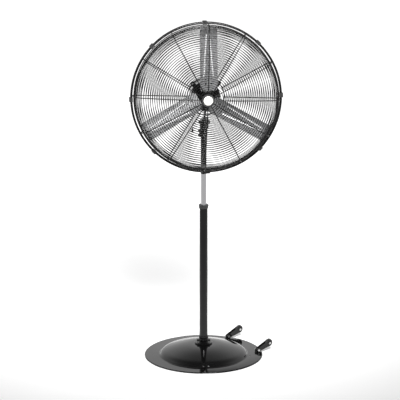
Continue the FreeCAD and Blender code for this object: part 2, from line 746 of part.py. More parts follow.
def face_rings(line, first_r, rear):
    """Concentric wires of one guard face."""
    count = int((line.face_edge_r - first_r) / RING_PITCH) + 1
    pitch = (line.face_edge_r - first_r) / (count - 1)
    rings = []
    for k in range(count):
        radius, height = line.face_point(first_r + pitch * k, RING_INSET)
        rings.append(in_fan(mirrored_if(wire_ring(radius, RING_R, height, RING_SIDES), rear)))
    return rings


def shoulder_rings(line, count, rear):
    """Concentric wires round one guard shoulder."""
    rings = []
    for k in range(1, count + 1):
        angle = line.slope + (radians(84) - line.slope) * k / count
        radius, height = line.shoulder_point(angle, RING_INSET)
        rings.append(in_fan(mirrored_if(wire_ring(radius, RING_R, height, RING_SIDES), rear)))
    return rings


def rear_hub_plate():
    """Narrow flat ring that the rear spokes are welded to, with four bolt tabs."""
    low = MOTOR_Z[1] + BRACKET_H
    high = low + REAR_HUB_SHEET
    plate = tube(REAR_HUB_R[1], REAR_HUB_R[0], low, high)
    for tab in around(cylinder(8.0, low, high, BRACKET_ARM_R, 0), even_angles(4, 45)):
        plate = plate.fuse(tab)
    for hole in around(cylinder(2.5 + NEST_GAP, low - 1, high + 1, BRACKET_ARM_R, 0), even_angles(4, 45)):
        plate = plate.cut(hole)
    return in_fan(plate.removeSplitter())


def guard_clips():
    """Bent straps that hold the two rim rods together, each a U open outwards."""
    half_out = ROD_Z + ROD_R + 0.2 + CLIP_WALL
    half_in = half_out - CLIP_WALL
    web_top = CLIP_INNER_R + CLIP_WALL
    outline = [
        V(CLIP_INNER_R, 0, -half_out), V(CLIP_OUTER_R, 0, -half_out), V(CLIP_OUTER_R, 0, -half_in),
        V(web_top, 0, -half_in), V(web_top, 0, half_in), V(CLIP_OUTER_R, 0, half_in),
        V(CLIP_OUTER_R, 0, half_out), V(CLIP_INNER_R, 0, half_out),
    ]
    strap = Part.Face(Part.makePolygon(outline + outline[:1])).revolve(CENTRE, Z_AXIS, CLIP_ANGLE)
    strap = rotated(strap, Z_AXIS, -CLIP_ANGLE / 2)
    strap = strap.cut(cylinder(CLIP_SCREW_R + NEST_GAP, -20, 20, clip_screw_r(), 0))
    return [in_fan(piece) for piece in around(strap, clip_angles())]


def clip_screw_r():
    """Radius at which a clip's screw runs, outside the rods."""
    return ROD_RING_R + ROD_R + CLIP_SCREW_OUT


def clip_angles():
    """Angles of the clips round the rim, clear of the spokes."""
    return even_angles(CLIP_COUNT, CLIP_FIRST)


def clip_screws():
    """One screw and nut through each clip."""
    half = ROD_Z + ROD_R + 0.2 + CLIP_WALL
    at = clip_screw_r()
    screw = cylinder(CLIP_SCREW_R, -half - 4, half, at, 0).fuse(cylinder(2.2, half, half + 1.8, at, 0))
    nut = hexagon(4.4, -half - 2.4, -half, at, 0)
    nut = nut.cut(cylinder(CLIP_SCREW_R + NEST_GAP, -half - 4, -half + 1, at, 0))
    return [in_fan(piece) for piece in around(screw, clip_angles()) + around(nut, clip_angles())]


def centre_plate():
    """Dished cap over the inner ends of the front spokes."""
    low = FRONT_DEPTH + SPOKE_R + NEST_GAP
    return in_fan(turned([
        (0, low),
        (CENTRE_PLATE_R - 1, low),
        (CENTRE_PLATE_R, low + 1),
        (CENTRE_PLATE_R, low + 4),
        (CENTRE_PLATE_R - 2, low + 6),
        (BADGE_R + 0.3, low + 6),
        (BADGE_R + 0.3, low + 4),
        (0, low + 4),
    ]))


def badge():
    """Round badge let into the centre plate, slightly crowned."""
    low = FRONT_DEPTH + SPOKE_R + NEST_GAP + 4
    crown_r = 130.0
    disc = cylinder(BADGE_R, low, low + 5)
    crown = Part.makeSphere(crown_r, V(0, 0, low + 4 - crown_r))
    return in_fan(disc.common(crown))


# ---- propeller ------------------------------------------------------------------------------
def camber_sheet(mid_r, thickness, width, low, high):
    """Curved strip along Y between two radii, hollow side forward, on a camber of mid_r."""
    half = asin(width / 2 / mid_r)
    centre_z = BLADE_CAMBER_R

    def at(radius, angle):
        return V(radius * sin(angle), low, centre_z - radius * cos(angle))
    outer, inner = mid_r + thickness / 2, mid_r - thickness / 2
    edges = [
        Part.Arc(at(outer, -half), at(outer, 0), at(outer, half)).toShape(),
        Part.makeLine(at(outer, half), at(inner, half)),
        Part.Arc(at(inner, half), at(inner, 0), at(inner, -half)).toShape(),
        Part.makeLine(at(inner, -half), at(outer, -half)),
    ]
    return Part.Face(Part.Wire(edges)).extrude(V(0, high - low, 0))


def rounded_outline(half_width, low, high, root_r, tip_r):
    """Prism with a strip's outline, its corners rounded by one radius at each end."""
    prism = block((-half_width, half_width), (low, high), (-80, 80))
    for radius, end_y in ((root_r, low), (tip_r, high)):
        corners = [edge for edge in prism.Edges
                   if edge.BoundBox.ZLength > 100 and abs(edge.BoundBox.Center.y - end_y) < 1]
        prism = prism.makeFillet(radius, corners)
    return prism


def pitched(shape, angle):
    """Turn a strip to the blade pitch and set it at its place round the shaft."""
    placed = moved(rotated(shape, Y_AXIS, BLADE_PITCH), V(BLADE_OFFSET, 0, BLADE_Z))
    return rotated(placed, Z_AXIS, angle)


def blade(index):
    """One cambered paddle with a rounded outline."""
    sheet = camber_sheet(BLADE_CAMBER_R, BLADE_SHEET, BLADE_CHORD, BLADE_ROOT_R, BLADE_TIP_R)
    outline = rounded_outline(BLADE_CHORD / 2 - 0.5, BLADE_ROOT_R + 0.5, BLADE_TIP_R - 0.5, *BLADE_CORNER_R)
    paddle = sheet.common(outline)
    for hole in rivet_shapes(2.5 + NEST_GAP, 0.0):
        paddle = paddle.cut(hole)
    return in_fan(pitched(paddle, 360.0 * index / BLADE_COUNT))


def rivet_shapes(radius, head_r):
    """Rivets of one blade; with no head radius they are the hole cutters."""
    back = -BLADE_SHEET / 2 - HUB_SHEET
    shapes = []
    for x in (-17.0, 17.0):
        for y in (78.0, 104.0):
            lift = BLADE_CAMBER_R - sqrt(BLADE_CAMBER_R ** 2 - x ** 2)
            tilt = degrees(asin(x / BLADE_CAMBER_R))
            shank = cylinder(radius, back - 6, 6)
            if head_r:
                shank = cylinder(radius, back, BLADE_SHEET / 2)
                shank = shank.fuse(cylinder(head_r, BLADE_SHEET / 2 + 0.1, BLADE_SHEET / 2 + 2.0))
                shank = shank.fuse(cylinder(radius, BLADE_SHEET / 2 - 0.5, BLADE_SHEET / 2 + 0.5))
            shank = rotated(shank, Y_AXIS, -tilt)
            shapes.append(moved(shank, V(x, y, lift)))
    return shapes


def blade_rivets():
    """Rivets that hold the blades on the hub arms."""
    rivets = []
    for index in range(BLADE_COUNT):
        rivets += [in_fan(pitched(shape, 360.0 * index / BLADE_COUNT)) for shape in rivet_shapes(2.5, 4.2)]
    return rivets


def blade_hub():
    """Hub boss with three cambered arms behind the blades."""
    arm_r = BLADE_CAMBER_R + BLADE_SHEET / 2 + HUB_SHEET / 2
    arm = camber_sheet(arm_r, HUB_SHEET, HUB_ARM_WIDTH, 4.0, HUB_ARM_TIP_R)
    outline = rounded_outline(HUB_ARM_WIDTH / 2 - 0.5, 4.5, HUB_ARM_TIP_R - 0.5, 4.0, 14.0)
    arm = arm.common(outline)
    for hole in rivet_shapes(2.5 + NEST_GAP, 0.0):
        arm = arm.cut(hole)
    hub = cylinder(HUB_BOSS_R, BLADE_Z - 42, BLADE_Z + 18)
    for index in range(BLADE_COUNT):
        hub = hub.fuse(pitched(arm, 360.0 * index / BLADE_COUNT))
    hub = hub.cut(cylinder(SHAFT_R - RUN_GAP + NEST_GAP, -60, 90))
    screw_hole = Part.makeCylinder(3.0 + NEST_GAP, 30, V(0, 0, BLADE_Z - 35), Y_AXIS)
    return in_fan(hub.cut(screw_hole).removeSplitter())


def hub_set_screw():
    """Grub screw that grips the shaft."""
    return in_fan(Part.makeCylinder(3.0, HUB_BOSS_R - SHAFT_R - 2, V(0, SHAFT_R + 0.5, BLADE_Z - 35), Y_AXIS))


def motor_shaft():
    """Shaft from the rear bearing to the front of the hub."""
    return in_fan(cylinder(SHAFT_R - RUN_GAP, MOTOR_Z[0] + BELL_WALL + 1, BLADE_Z + 24.0))


def rotor_core():
    """Squirrel-cage rotor on the shaft."""
    return in_fan(tube(STATOR_BORE_R - 0.6, SHAFT_R, STATOR_Z[0] - 2, STATOR_Z[1] + 2))


# ---- transport wheels --------------------------------------------------------------------------
def arm_frame(side):
    """Pivot point of a wheel arm on the rim."""
    azimuth = radians(ARM_AZIMUTHS[side])
    return V(ARM_PIVOT_R * cos(azimuth), ARM_PIVOT_R * sin(azimuth), ARM_PIVOT_Z)


def on_arm(shape, side):
    """Place a piece drawn with the pivot at the origin, X outwards and the axles along Y."""
    return moved(rotated(shape, Z_AXIS, ROLL_AZIMUTH), arm_frame(side))


def cross_cylinder(radius, y_low, y_high, x=0.0, z=0.0):
    """Cylinder along Y, across a wheel arm."""
    return Part.makeCylinder(radius, y_high - y_low, V(x, y_low, z), Y_AXIS)


def arm_rise():
    """Height of the axle above the arm's pivot."""
    return WHEEL_Z - ARM_PIVOT_Z


def fork_half():
    """Half the clear width between a wheel arm's two plates."""
    return WHEEL_W / 2 + SAFE_GAP


def arm_plate(y_low, y_high):
    """Tapered plate with two round ends and the two tangents between them."""
    rise = arm_rise()
    reach = sqrt(ARM_RUN ** 2 + rise ** 2)
    heading = atan2(rise, ARM_RUN)
    tangent = acos((ARM_SMALL_R - ARM_BIG_R) / reach)

    def at(radius, angle, end):
        x, z = (ARM_RUN, rise) if end else (0.0, 0.0)
        return V(x + radius * cos(angle), y_low, z + radius * sin(angle))
    up, down = heading + tangent, heading - tangent
    edges = [
        Part.makeLine(at(ARM_SMALL_R, up, 0), at(ARM_BIG_R, up, 1)),
        Part.Arc(at(ARM_BIG_R, up, 1), at(ARM_BIG_R, heading, 1), at(ARM_BIG_R, down, 1)).toShape(),
        Part.makeLine(at(ARM_BIG_R, down, 1), at(ARM_SMALL_R, down, 0)),
        Part.Arc(at(ARM_SMALL_R, down, 0), at(ARM_SMALL_R, heading + pi, 0), at(ARM_SMALL_R, up, 0)).toShape(),
    ]
    plate = Part.Face(Part.Wire(edges)).extrude(V(0, y_high - y_low, 0))
    plate = plate.cut(cross_cylinder(WHEEL_AXLE_R + NEST_GAP, -40, 40))
    return plate.cut(cross_cylinder(WHEEL_AXLE_R + NEST_GAP, -40, 40, ARM_RUN, rise))


def wheel_arms():
    """Two plates each side of each wheel."""
    inner = fork_half()
    plates = []
    for side in ARM_AZIMUTHS:
        for y_low in (inner, -inner - ARM_PLATE):
            plates.append(on_arm(arm_plate(y_low, y_low + ARM_PLATE), side))
    return plates


def wheel_lugs():
    """Lugs welded on the rim, between the arm plates."""
    lugs = []
    half = fork_half() - NEST_GAP
    for side in ARM_AZIMUTHS:
        lug = block((-11, 11), (-half, half), (RIM_Z - ARM_PIVOT_Z, 0)).fuse(cross_cylinder(8.0, -half, half))
        lug = lug.cut(cross_cylinder(WHEEL_AXLE_R + NEST_GAP, -40, 40))
        lugs.append(on_arm(lug.removeSplitter(), side))
    return lugs


def cross_bolt(x, z):
    """Bolt across a wheel arm with its nut, head on the front side."""
    outside = fork_half() + ARM_PLATE
    screw = rotated(bolt(WHEEL_AXLE_R, 12.0, 4.5, -outside - 7, outside), X_AXIS, 90)
    nut = hexagon(12.0, -outside - 6, -outside).cut(cylinder(WHEEL_AXLE_R + NEST_GAP, -60, 0))
    nut = rotated(nut, X_AXIS, 90)
    return [moved(shape, V(x, 0, z)) for shape in (screw, nut)]


def wheel_arm_bolts():
    """Bolts that hold the arms on their lugs."""
    return [on_arm(shape, side) for side in ARM_AZIMUTHS for shape in cross_bolt(0, 0)]


def wheel_axles():
    """Axle bolts of the two wheels."""
    return [on_arm(shape, side) for side in ARM_AZIMUTHS for shape in cross_bolt(ARM_RUN, arm_rise())]


def wheel_hub(side):
    """Plastic hub of one wheel, with a recessed face."""
    half = WHEEL_W / 2
    hub = turned([
        (WHEEL_AXLE_R + RUN_GAP, -half),
        (8.0, -half),
        (8.0, 2 - half),
        (WHEEL_HUB_R - 2, 2 - half),
        (WHEEL_HUB_R - 2, 1 - half),
        (WHEEL_HUB_R, 1 - half),
        (WHEEL_HUB_R, half - 1),
        (WHEEL_HUB_R - 2, half - 1),
        (WHEEL_HUB_R - 2, half - 2),
        (8.0, half - 2),
        (8.0, half),
        (WHEEL_AXLE_R + RUN_GAP, half),
    ])
    return on_arm(moved(rotated(hub, X_AXIS, 90), V(ARM_RUN, 0, arm_rise())), side)


def wheel_tyre(side):
    """Solid tyre of one wheel."""
    half = WHEEL_W / 2 - 0.5
    tyre = turned([
        (WHEEL_HUB_R + NEST_GAP, -half),
        (WHEEL_R - 2, -half),
        (WHEEL_R, 3 - half),
        (WHEEL_R, half - 3),
        (WHEEL_R - 2, half),
        (WHEEL_HUB_R + NEST_GAP, half),
    ])
    return on_arm(moved(rotated(tyre, X_AXIS, 90), V(ARM_RUN, 0, arm_rise())), side)


# ---- pull chain ------------------------------------------------------------------------------------
def chain_exit():
    """Where the chain leaves the switch box."""
    return in_head(Part.Vertex(CHAIN_EXIT)).Point


def pull_chain():
    """The hanging chain, as a plain round line."""
    top = chain_exit() - V(0, 0, 0.3)
    return Part.makeCylinder(CHAIN_R, CHAIN_LENGTH, top, -Z_AXIS)


def chain_knob():
    """Bell-shaped pull on the chain's end."""
    knob = turned([
        (0, 0),
        (KNOB_R - 0.6, 0),
        (KNOB_R, 1.0),
        (KNOB_R - 0.2, 8.0),
        (KNOB_R - 1.2, KNOB_H - 10),
        (KNOB_R - 2.6, KNOB_H - 2),
        (1.4, KNOB_H),
        (0, KNOB_H),
    ])
    return moved(knob, chain_exit() - V(0, 0, 0.3 + CHAIN_LENGTH + KNOB_H))


# ---- what is written -----------------------------------------------------------------------------------
NODES = {
    "base_dish": base_dish,
    "ballast_plate": ballast_plate,
    "rubber_feet": rubber_feet,
    "pole_flange": pole_flange,
    "flange_bolts": flange_bolts,
    "outer_tube": outer_tube,
    "grip_bush": grip_bush,
    "wheel_lugs": wheel_lugs,
    "wheel_arms": wheel_arms,
    "wheel_arm_bolts": wheel_arm_bolts,
    "wheel_axles": wheel_axles,
    "left_wheel_hub": lambda: wheel_hub("left"),
    "left_wheel_tyre": lambda: wheel_tyre("left"),
    "right_wheel_hub": lambda: wheel_hub("right"),
    "right_wheel_tyre": lambda: wheel_tyre("right"),
    "lock_collar": lock_collar,
    "inner_tube": inner_tube,
    "guide_bush": guide_bush,
    "head_stem": head_stem,
    "swivel_socket": swivel_socket,
    "socket_bolts": socket_bolts,
    "knuckle_block": knuckle_block,
    "tilt_bolt": tilt_bolt,
    "motor_saddle": motor_saddle,
    "saddle_bolts": saddle_bolts,
    "front_bell": front_bell,
    "rear_bell": rear_bell,
    "stator_core": stator_core,
    "stator_windings": stator_windings,
    "motor_bearings": motor_bearings,
    "motor_tie_bolts": motor_tie_bolts,
    "guard_bracket": guard_bracket,
    "bracket_bolts": bracket_bolts,
    "switch_box": switch_box,
    "pull_switch": pull_switch,
    "run_capacitor": run_capacitor,
    "cable_gland": cable_gland,
    "rear_rim": lambda: guard_rim(True),
    "rear_spokes": lambda: guard_spokes(REAR_LINE, REAR_HUB_R[0] - 2, True),
    "rear_face_rings": lambda: face_rings(REAR_LINE, 112.0, True),
    "rear_shoulder_rings": lambda: shoulder_rings(REAR_LINE, REAR_SHOULDER_RINGS, True),
    "rear_hub_plate": rear_hub_plate,
    "front_rim": lambda: guard_rim(False),
    "front_spokes": lambda: guard_spokes(FRONT_LINE, 12.0, False),
    "front_face_rings": lambda: face_rings(FRONT_LINE, 47.0, False),
    "front_shoulder_rings": lambda: shoulder_rings(FRONT_LINE, FRONT_SHOULDER_RINGS, False),
    "guard_clips": guard_clips,
    "clip_screws": clip_screws,
    "centre_plate": centre_plate,
    "badge": badge,
    "motor_shaft": motor_shaft,
    "rotor_core": rotor_core,
    "blade_hub": blade_hub,
    "hub_set_screw": hub_set_screw,
    "blade_rivets": blade_rivets,
    "pull_chain": pull_chain,
    "chain_knob": chain_knob,
}
for number in range(BLADE_COUNT):
    NODES["blade_%d" % (number + 1)] = lambda index=number: blade(index)


def write_parts():
    """Write every node as one STEP file and print what it holds."""
    os.makedirs("parts", exist_ok=True)
    for name, make in NODES.items():
        shape = make()
        if isinstance(shape, list):
            shape = Part.makeCompound(shape)
        shape.exportStep("parts/%s.step" % name)
        print("%-22s solids %2d  valid %s  volume %.0f mm3" % (name, len(shape.Solids), shape.isValid(), shape.Volume))


def print_joint_facts():
    """Print the positions and axes that the record states."""
    hub = in_fan(Part.Vertex(CENTRE)).Point
    ahead = in_fan(Part.Vertex(V(0, 0, 100))).Point
    side = in_swivel(Part.Vertex(V(1, 0, 0))).Point
    print("shaft point", [round(c / 1000, 5) for c in hub])
    print("shaft axis", [round((b - a) / 100, 6) for a, b in zip(hub, ahead)])
    print("tilt axis", [round(c, 6) for c in side])
    print("chain exit", [round(c / 1000, 5) for c in chain_exit()])
    for side_name in ARM_AZIMUTHS:
        axle = on_arm(Part.Vertex(V(ARM_RUN, 0, arm_rise())), side_name).Point
        print(side_name, "wheel axle", [round(c / 1000, 5) for c in axle])


write_parts()
print_joint_facts()
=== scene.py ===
"""Studio scene of the pedestal fan: materials, detailed pieces, camera and light.

Everything is in metres in the part's own frame: origin on the floor under the pole,
+Z up, the fan blowing towards -Y.
"""
import bmesh
import bpy
import json
from math import asin, cos, pi, radians, sin, sqrt
from mathutils import Matrix, Vector


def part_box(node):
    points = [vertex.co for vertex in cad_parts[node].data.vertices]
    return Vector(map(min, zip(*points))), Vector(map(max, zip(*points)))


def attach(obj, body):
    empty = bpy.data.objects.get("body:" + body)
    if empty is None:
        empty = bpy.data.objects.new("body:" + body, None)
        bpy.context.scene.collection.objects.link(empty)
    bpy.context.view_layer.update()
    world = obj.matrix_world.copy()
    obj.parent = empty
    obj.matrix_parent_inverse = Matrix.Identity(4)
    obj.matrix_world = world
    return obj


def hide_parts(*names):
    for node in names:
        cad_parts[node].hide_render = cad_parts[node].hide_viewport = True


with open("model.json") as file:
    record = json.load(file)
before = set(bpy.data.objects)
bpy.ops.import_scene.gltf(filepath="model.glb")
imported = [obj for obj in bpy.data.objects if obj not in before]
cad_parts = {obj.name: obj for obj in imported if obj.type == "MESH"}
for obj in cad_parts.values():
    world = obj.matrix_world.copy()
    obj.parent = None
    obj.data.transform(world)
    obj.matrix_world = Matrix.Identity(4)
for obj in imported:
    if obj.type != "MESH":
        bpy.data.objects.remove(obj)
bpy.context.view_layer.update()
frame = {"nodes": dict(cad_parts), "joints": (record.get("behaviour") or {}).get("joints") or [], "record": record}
NODES = frame["nodes"]
JOINTS = {joint["name"]: joint for joint in frame["joints"]}
SLOTS = {entry["node"]: entry["material_slot"] for entry in frame["record"]["subparts"]}
COLLECTION = bpy.context.scene.collection

# ---- the fan frame: X right, Y up, Z forward along the shaft, origin in the rim plane ----
SHAFT_POINT = Vector(JOINTS["blade_spin"]["pos_m"])
SHAFT_AXIS = Vector(JOINTS["blade_spin"]["axis"]).normalized()
SHAFT_RIGHT = Vector((0.0, 0.0, 1.0)).cross(SHAFT_AXIS).normalized()
SHAFT_UP = SHAFT_AXIS.cross(SHAFT_RIGHT)
FAN = Matrix.Translation(SHAFT_POINT) @ Matrix((SHAFT_RIGHT, SHAFT_UP, SHAFT_AXIS)).transposed().to_4x4()

# ---- propeller ----
BLADE_COUNT = 3
BLADE_PITCH = radians(23.0)
BLADE_HALF = 0.0530
BLADE_SHEET = 0.0016
BLADE_CAMBER_R = 0.150
BLADE_ROOT = 0.0385
BLADE_TIP = 0.3755
BLADE_OFFSET = 0.009
BLADE_FORWARD = 0.034
BLADE_ROOT_CORNER = 0.018
BLADE_TIP_CORNER = 0.010
RIB_HEIGHT = 0.0045
RIB_HALF_WIDTH = 0.0065
RIB_SPAN = (0.112, 0.350)
RIB_OFFSETS = (0.0290, 0.0085)
RIB_FADE = 0.05
BLADE_STEPS = (150, 72)

# ---- guard: round wires in the place of the frame's many-sided ones ----
SPOKE_COUNT = 12
SPOKE_FIRST = radians(-2.5)
SPOKE_WIRE_R = 0.0026
RING_WIRE_R = 0.00175
RING_PITCH = 0.0115
WIRE_GAP = 0.00005
ROD_WIRE_R = 0.006
ROD_Z = 0.007
SKIRT_R = 0.3945
RING_INSET = SPOKE_WIRE_R + RING_WIRE_R + WIRE_GAP
ROD_RING_R = SKIRT_R + SPOKE_WIRE_R + ROD_WIRE_R + WIRE_GAP
SKIRT_END_Z = ROD_Z - 0.003
LAST_SHOULDER_ANGLE = radians(84.0)
FRONT_DEPTH = 0.125
FRONT_DOME_R = 1.5
FRONT_SHOULDER_R = 0.052
FRONT_SHOULDER_RINGS = 9
FRONT_FIRST_RING_R = 0.047
FRONT_SPOKE_END_R = 0.012
REAR_DEPTH = 0.0216
REAR_DOME_R = 20.0
REAR_SHOULDER_R = 0.012
REAR_SHOULDER_RINGS = 2
REAR_FIRST_RING_R = 0.112
REAR_SPOKE_END_R = 0.095
SPOKE_STEPS = 12
RING_STEPS = 180
WIRE_SIDES = 10
RIM_STEPS = 240
RIM_SIDES = 16

# ---- pole ----
OUTER_TUBE_R = 0.02225
INNER_TUBE_R = 0.0159
TUBE_WALLS = {"outer_tube": 0.00225, "inner_tube": 0.0016}
TUBE_CHAMFER = 0.0004
TUBE_SIDES = 96
SHARP_ANGLE = radians(35.0)
MERGE_DISTANCE = 1e-6

# ---- badge ----
BADGE_R = 0.0249
BADGE_RISE = 0.0028
BADGE_SIDES = 96
MARK_BARS = ((0.0045, 0.009), (0.0, 0.014), (-0.0045, 0.009))   # height and half length
MARK_BAR_HALF = 0.0011
MARK_SAG = 9.0

# ---- pull chain ----
BALL_R = 0.0012
BALL_PITCH = 0.0032
LINK_R = BALL_R * 0.35

# ---- camera ----
CAMERA_ELEVATION = radians(17.0)
CAMERA_DISTANCE = 25.0
FRAME_WIDTH = 2.176
CAMERA_TARGET = Vector((-0.0195, 0.0, 0.888))
SENSOR = 36.0

# ---- studio ----
FLOOR_GLOW = (0.15, 0.72)
FLOOR_GLOW_FROM = (-0.5, 4.5)
SKY_BEHIND = (-0.55, 0.15)
SKY_LOW = (1.0, 0.5)
SKY_LEVELS = (0.12, 1.0)
FLOOR_HALF = 40.0
SOFTBOX_PLACE = (0.8, -5.0, 5.5)
SOFTBOX_TARGET = (0.0, -0.2, 1.45)
SOFTBOX_SIZE = (2.4, 1.6)
SOFTBOX_POWER = 46.0
SOFTBOX_SPREAD = radians(34.0)


# ================================ materials ================================
class Shader:
    """A Principled material with short calls for its procedural detail."""

    def __init__(self, name):
        self.material = bpy.data.materials.new(name)
        self.material.use_nodes = True
        self.tree = self.material.node_tree
        self.bsdf = self.tree.nodes["Principled BSDF"]
        self.place = self.tree.nodes.new("ShaderNodeTexCoord").outputs["Object"]

    def add(self, kind, **inputs):
        """New node with some of its inputs set or linked."""
        node = self.tree.nodes.new(kind)
        for key, value in inputs.items():
            self.feed(node.inputs[key.replace("_", " ")], value)
        return node

    def feed(self, socket, value):
        """Set a socket to a value or link it to an output."""
        if isinstance(value, bpy.types.NodeSocket):
            self.tree.links.new(value, socket)
        else:
            socket.default_value = value

    def set(self, **values):
        """Set or link the shader's own sockets."""
        for key, value in values.items():
            self.feed(self.bsdf.inputs[key.replace("_", " ")], value)
        return self

    def noise(self, scale, detail=3.0, stretch=(1.0, 1.0, 1.0)):
        """Noise factor in object space."""
        mapping = self.add("ShaderNodeMapping", Vector=self.place, Scale=stretch)
        node = self.add("ShaderNodeTexNoise", Vector=mapping.outputs["Vector"], Scale=scale, Detail=detail)
        return node.outputs["Fac"]

    def span(self, factor, low, high):
        """Number running from low to high with a 0..1 factor."""
        node = self.add("ShaderNodeMapRange", Value=factor, To_Min=low, To_Max=high)
        node.inputs["From Min"].default_value = 0.3
        node.inputs["From Max"].default_value = 0.7
        return node.outputs["Result"]

    def blend(self, factor, low, high):
        """Colour running from low to high with a 0..1 factor."""
        node = self.tree.nodes.new("ShaderNodeMix")
        node.data_type = "RGBA"
        self.feed(node.inputs["Factor"], factor)
        for socket, colour in ((node.inputs[6], low), (node.inputs[7], high)):
            if isinstance(colour, bpy.types.NodeSocket):
                self.feed(socket, colour)
            else:
                socket.default_value = (*colour, 1.0)
        return node.outputs[2]

    def bump(self, height, strength, distance):
        """Bump from a height factor."""
        node = self.add("ShaderNodeBump", Height=height, Strength=strength, Distance=distance)
        self.feed(self.bsdf.inputs["Normal"], node.outputs["Normal"])
        return self


def gloss_coat(name, tone, rough, peel):
    """Black powder coat: near-black gloss with a faint orange peel and slight haze."""
    shader = Shader(name)
    haze = shader.noise(14.0)
    shader.set(Base_Color=shader.blend(haze, (tone, tone, tone), (tone * 1.5, tone * 1.5, tone * 1.55)))
    shader.set(Roughness=shader.span(shader.noise(35.0), rough, rough * 1.6), IOR=1.4)
    return shader.bump(shader.noise(420.0, 2.0), peel, 0.0004).material


def chrome():
    """Bright chromed tube with faint lengthwise polish lines."""
    shader = Shader("chrome_plate")
    lines = shader.noise(260.0, 2.0, (1.0, 1.0, 0.02))
    shader.set(Base_Color=shader.blend(lines, (0.70, 0.70, 0.72), (0.80, 0.80, 0.81)))
    shader.set(Metallic=1.0, Roughness=shader.span(lines, 0.05, 0.13))
    return shader.bump(lines, 0.05, 0.0002).material


def blade_paint():
    """Satin grey blade finish, with a painted highlight: the crests of the ribs coloured near-white."""
    shader = Shader("blade_satin_grey")
    streak = shader.noise(180.0)
    sheet = shader.blend(shader.noise(9.0), (0.210, 0.211, 0.215), (0.270, 0.271, 0.275))
    painted_rib_highlight = shader.add("ShaderNodeAttribute")
    painted_rib_highlight.attribute_name = "painted_rib_highlight"
    # painted highlight: the rib tops turn near-white where the rib height mask is high
    shader.set(Base_Color=shader.blend(painted_rib_highlight.outputs["Fac"], sheet, (0.92, 0.92, 0.93)), Metallic=0.25)
    shader.set(Roughness=shader.span(streak, 0.32, 0.46))
    return shader.bump(streak, 0.08, 0.0003).material


def bare_steel(name, tone, rough, metallic=1.0):
    """Plain or plated steel of fasteners and shafts, with fine turning marks."""
    shader = Shader(name)
    marks = shader.noise(700.0, 2.0, (1.0, 1.0, 0.2))
    shader.set(Base_Color=shader.blend(marks, (tone * 0.85,) * 3, (tone,) * 3), Metallic=metallic)
    shader.set(Roughness=shader.span(marks, rough, rough * 1.5))
    return shader.bump(marks, 0.1, 0.0001).material


def moulded_plastic():
    """Black moulded plastic with a fine spark-eroded texture."""
    shader = Shader("moulded_black_plastic")
    grain = shader.noise(1400.0, 2.0)
    shader.set(Base_Color=shader.blend(shader.noise(30.0), (0.014, 0.014, 0.015), (0.024, 0.024, 0.025)))
    shader.set(Roughness=shader.span(grain, 0.34, 0.52), IOR=1.5)
    return shader.bump(grain, 0.25, 0.0002).material


def rubber():
    """Matt black rubber with scuffs."""
    shader = Shader("matt_rubber")
    scuff = shader.noise(60.0, 6.0)
    shader.set(Base_Color=shader.blend(scuff, (0.018, 0.018, 0.018), (0.050, 0.049, 0.047)))
    shader.set(Roughness=shader.span(scuff, 0.62, 0.85))
    return shader.bump(shader.noise(900.0), 0.3, 0.0003).material


def cast_iron():
    """Rough dark casting."""
    shader = Shader("rough_cast_iron")
    grit = shader.noise(240.0, 5.0)
    shader.set(Base_Color=shader.blend(grit, (0.030, 0.029, 0.028), (0.075, 0.070, 0.065)), Metallic=0.6)
    shader.set(Roughness=shader.span(grit, 0.55, 0.8))
    return shader.bump(grit, 0.6, 0.0008).material


def laminations():
    """Stack of thin steel sheets seen edge-on."""
    shader = Shader("laminated_steel")
    mapping = shader.add("ShaderNodeMapping", Vector=shader.place)
    wave = shader.add("ShaderNodeTexWave", Vector=mapping.outputs["Vector"], Scale=600.0, Distortion=0.5)
    wave.bands_direction = "Y"
    shader.set(Base_Color=shader.blend(wave.outputs["Fac"], (0.20, 0.20, 0.21), (0.42, 0.43, 0.45)))
    shader.set(Metallic=1.0, Roughness=0.42)
    return shader.bump(wave.outputs["Fac"], 0.4, 0.0002).material


def winding_copper():
    """Varnished copper wire, wound in close turns."""
    shader = Shader("varnished_copper")
    wave = shader.add("ShaderNodeTexWave", Vector=shader.place, Scale=350.0, Distortion=3.0)
    shader.set(Base_Color=shader.blend(wave.outputs["Fac"], (0.28, 0.10, 0.03), (0.62, 0.27, 0.09)))
    shader.set(Metallic=0.8, Roughness=0.35)
    return shader.bump(wave.outputs["Fac"], 0.6, 0.0004).material


def badge_enamel():
    """Off-white gloss badge with a faint red mark: three curved bars, in the fan frame."""
    shader = Shader("badge_enamel")
    mapping = shader.add("ShaderNodeMapping", Vector=shader.place)
    local = FAN.inverted()
    mapping.inputs["Location"].default_value = local.to_translation()
    mapping.inputs["Rotation"].default_value = local.to_euler()
    split = shader.add("ShaderNodeSeparateXYZ", Vector=mapping.outputs["Vector"])

    def math(kind, first, second=0.0):
        node = shader.tree.nodes.new("ShaderNodeMath")
        node.operation = kind
        shader.feed(node.inputs[0], first)
        shader.feed(node.inputs[1], second)
        return node.outputs[0]
    across, up = split.outputs["X"], split.outputs["Y"]
    sag = math("MULTIPLY", math("MULTIPLY", across, across), MARK_SAG)
    mark = None
    for height, half_length in MARK_BARS:
        offset = math("ABSOLUTE", math("SUBTRACT", math("ADD", up, sag), height))
        inside = math("MULTIPLY", math("LESS_THAN", offset, MARK_BAR_HALF),
                      math("LESS_THAN", math("ABSOLUTE", across), half_length))
        mark = inside if mark is None else math("MAXIMUM", mark, inside)
    ground = shader.blend(shader.noise(40.0), (0.76, 0.73, 0.70), (0.82, 0.80, 0.77))
    shader.set(Base_Color=shader.blend(mark, ground, (0.72, 0.36, 0.28)))
    shader.set(Roughness=shader.span(shader.noise(90.0), 0.16, 0.24), Coat_Weight=0.5)
    return shader.bump(shader.noise(300.0), 0.03, 0.0002).material


